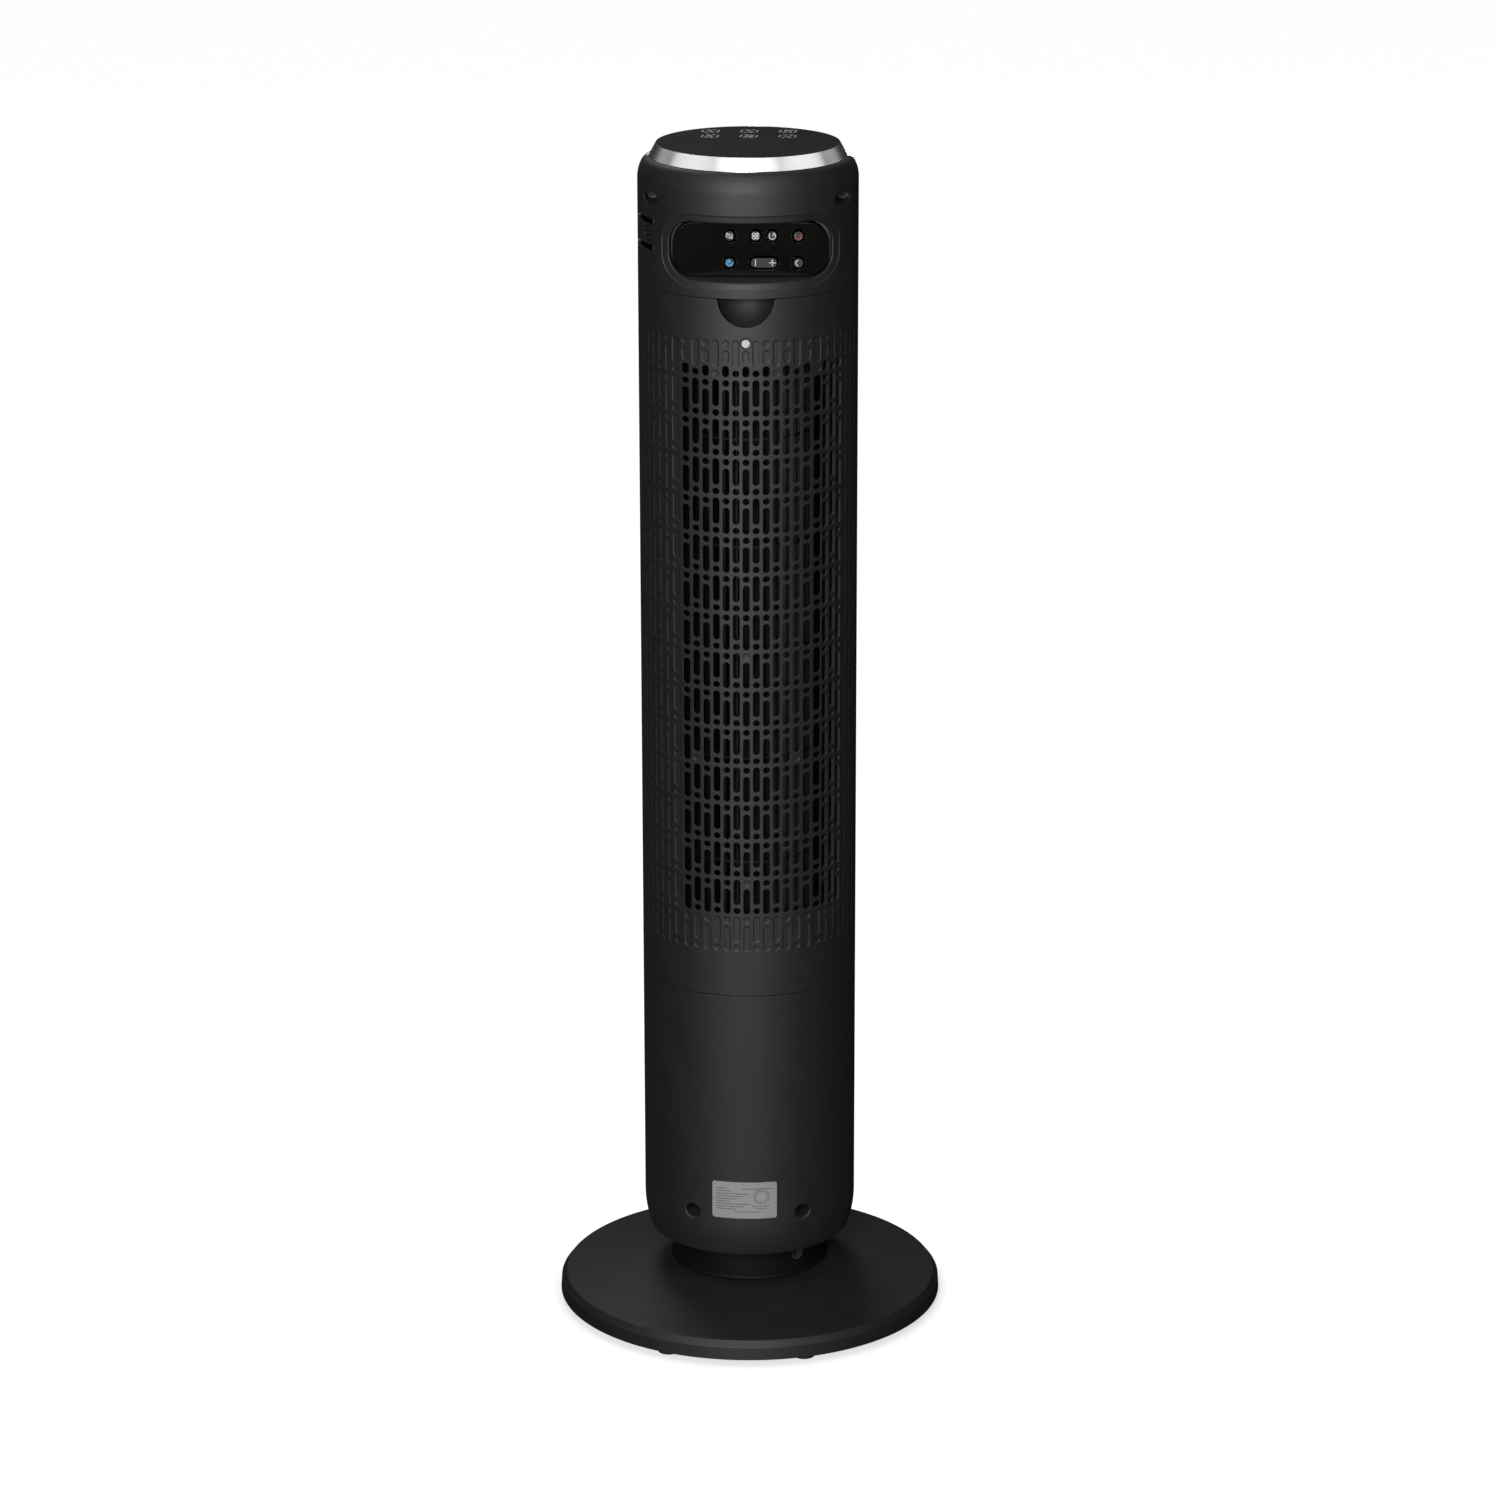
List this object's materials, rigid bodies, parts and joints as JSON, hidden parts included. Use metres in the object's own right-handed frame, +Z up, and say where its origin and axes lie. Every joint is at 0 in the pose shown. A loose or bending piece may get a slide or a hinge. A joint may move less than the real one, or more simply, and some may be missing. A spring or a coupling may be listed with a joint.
{
  "type": "tower fan",
  "caption": "Slim round tower fan on a weighted base, with a slotted removable rear cover, remote control in a niche and a bright ring round its touch panel.",
  "frame": {"origin": "centre of the base on the ground", "axes": "+Z up the tower, -Y towards the rear cover and the remote control, +Y the way the air blows, +X to the right seen from behind"},
  "size_m": [0.3, 0.3, 0.92],
  "materials": {
    "black_abs": "fine satin grain",
    "black_base": "fine matt grain",
    "inner_plastic": "matt",
    "grey_plastic": "matt",
    "white_plastic": "matt",
    "panel": "satin gloss",
    "smoked_window": "gloss",
    "ring_metal": "satin chrome",
    "remote_shell": "gloss",
    "remote_plate": "semi gloss",
    "key_rubber": "matt",
    "rubber": "matt",
    "steel": "plain",
    "dark_steel": "painted",
    "cast_weight": "rough",
    "brass": "plain",
    "board": "lacquered board",
    "component": "mixed components",
    "label": "printed foil",
    "lens": "clear dark",
    "copper_core": "varnished core"
  },
  "bodies": {
    "base": {"base_cover": "black_base", "base_plate": "inner_plastic", "base_weight": "cast_weight", "rubber_feet": "rubber", "base_screws": "steel", "neck_collar": "black_base", "neck_screws": "steel", "pivot_post": "inner_plastic", "cord_gland": "rubber", "glide_ring": "white_plastic", "thrust_washer": "steel", "fixed_gear": "white_plastic", "pivot_nut": "inner_plastic"},
    "tower": {"tower_floor": "inner_plastic", "front_housing": "black_abs", "rear_housing": "black_abs", "outlet_grille": "black_abs", "display_window": "smoked_window", "display_board": "board", "chrome_ring": "ring_metal", "touch_panel": "panel", "touch_board": "board", "sensor_board": "board", "housing_screws": "steel", "small_screws": "steel", "lower_bulkhead": "inner_plastic", "upper_bulkhead": "inner_plastic", "scroll_wall": "inner_plastic", "tongue": "inner_plastic", "motor_can": "dark_steel", "motor_cap": "dark_steel", "motor_stator": "copper_core", "motor_bearings": "steel", "motor_grommets": "rubber", "motor_screws": "steel", "top_bearing": "brass", "main_board": "board", "board_components": "component", "osc_motor": "steel", "rating_label": "label"},
    "fan_wheel": {"impeller": "grey_plastic", "motor_rotor": "steel", "top_pin": "steel"},
    "drive_pinion": {"osc_pinion": "white_plastic", "osc_motor_shaft": "steel"},
    "cover": {"rear_cover": "black_abs", "cover_screw": "steel"},
    "remote": {"remote_case": "remote_shell", "remote_face": "remote_plate", "remote_board": "board", "coin_cell": "steel", "battery_door": "remote_shell", "remote_led": "lens"},
    "mute_button_body": {"mute_button": "key_rubber"},
    "mode_button_body": {"mode_button": "key_rubber"},
    "timer_button_body": {"timer_button": "key_rubber"},
    "power_button_body": {"power_button": "key_rubber"},
    "display_button_body": {"display_button": "key_rubber"},
    "swing_button_body": {"swing_button": "key_rubber"},
    "speed_rocker_body": {"speed_rocker": "key_rubber"}
  },
  "joints": [
    {"name": "swing", "type": "hinge", "parent": "base", "child": "tower", "pos_m": [0, 0, 0.06], "axis": [0, 0, 1], "range_deg": [-45, 45]},
    {"name": "pinion_spin", "type": "hinge", "parent": "tower", "child": "drive_pinion", "pos_m": [0, 0.0401, 0.0706], "axis": [0, 0, 1], "range_deg": [-136, 136]},
    {"name": "fan_spin", "type": "hinge", "parent": "tower", "child": "fan_wheel", "pos_m": [0, -0.006, 0.5], "axis": [0, 0, 1], "continuous": true},
    {"name": "cover_pull", "type": "slide", "parent": "tower", "child": "cover", "axis": [0, -1, 0], "range_m": [0, 0.12]},
    {"name": "remote_pull", "type": "slide", "parent": "tower", "child": "remote", "axis": [0, -1, 0], "range_m": [0, 0.08]},
    {"name": "mute_button_press", "type": "slide", "parent": "remote", "child": "mute_button_body", "axis": [0, 1, 0], "range_m": [0, 0.0005], "stiffness_N_per_m": 900},
    {"name": "mode_button_press", "type": "slide", "parent": "remote", "child": "mode_button_body", "axis": [0, 1, 0], "range_m": [0, 0.0005], "stiffness_N_per_m": 900},
    {"name": "timer_button_press", "type": "slide", "parent": "remote", "child": "timer_button_body", "axis": [0, 1, 0], "range_m": [0, 0.0005], "stiffness_N_per_m": 900},
    {"name": "power_button_press", "type": "slide", "parent": "remote", "child": "power_button_body", "axis": [0, 1, 0], "range_m": [0, 0.0005], "stiffness_N_per_m": 900},
    {"name": "display_button_press", "type": "slide", "parent": "remote", "child": "display_button_body", "axis": [0, 1, 0], "range_m": [0, 0.0005], "stiffness_N_per_m": 900},
    {"name": "swing_button_press", "type": "slide", "parent": "remote", "child": "swing_button_body", "axis": [0, 1, 0], "range_m": [0, 0.0005], "stiffness_N_per_m": 900},
    {"name": "speed_rocker_tilt", "type": "hinge", "parent": "remote", "child": "speed_rocker_body", "pos_m": [0.0129, -0.0555, 0.8406], "axis": [0, 0, 1], "range_deg": [-3, 3], "stiffness_Nm_per_rad": 0.03}
  ],
  "couplings": [
    {"joint": "pinion_spin", "follows": "swing", "ratio": 3}
  ]
}
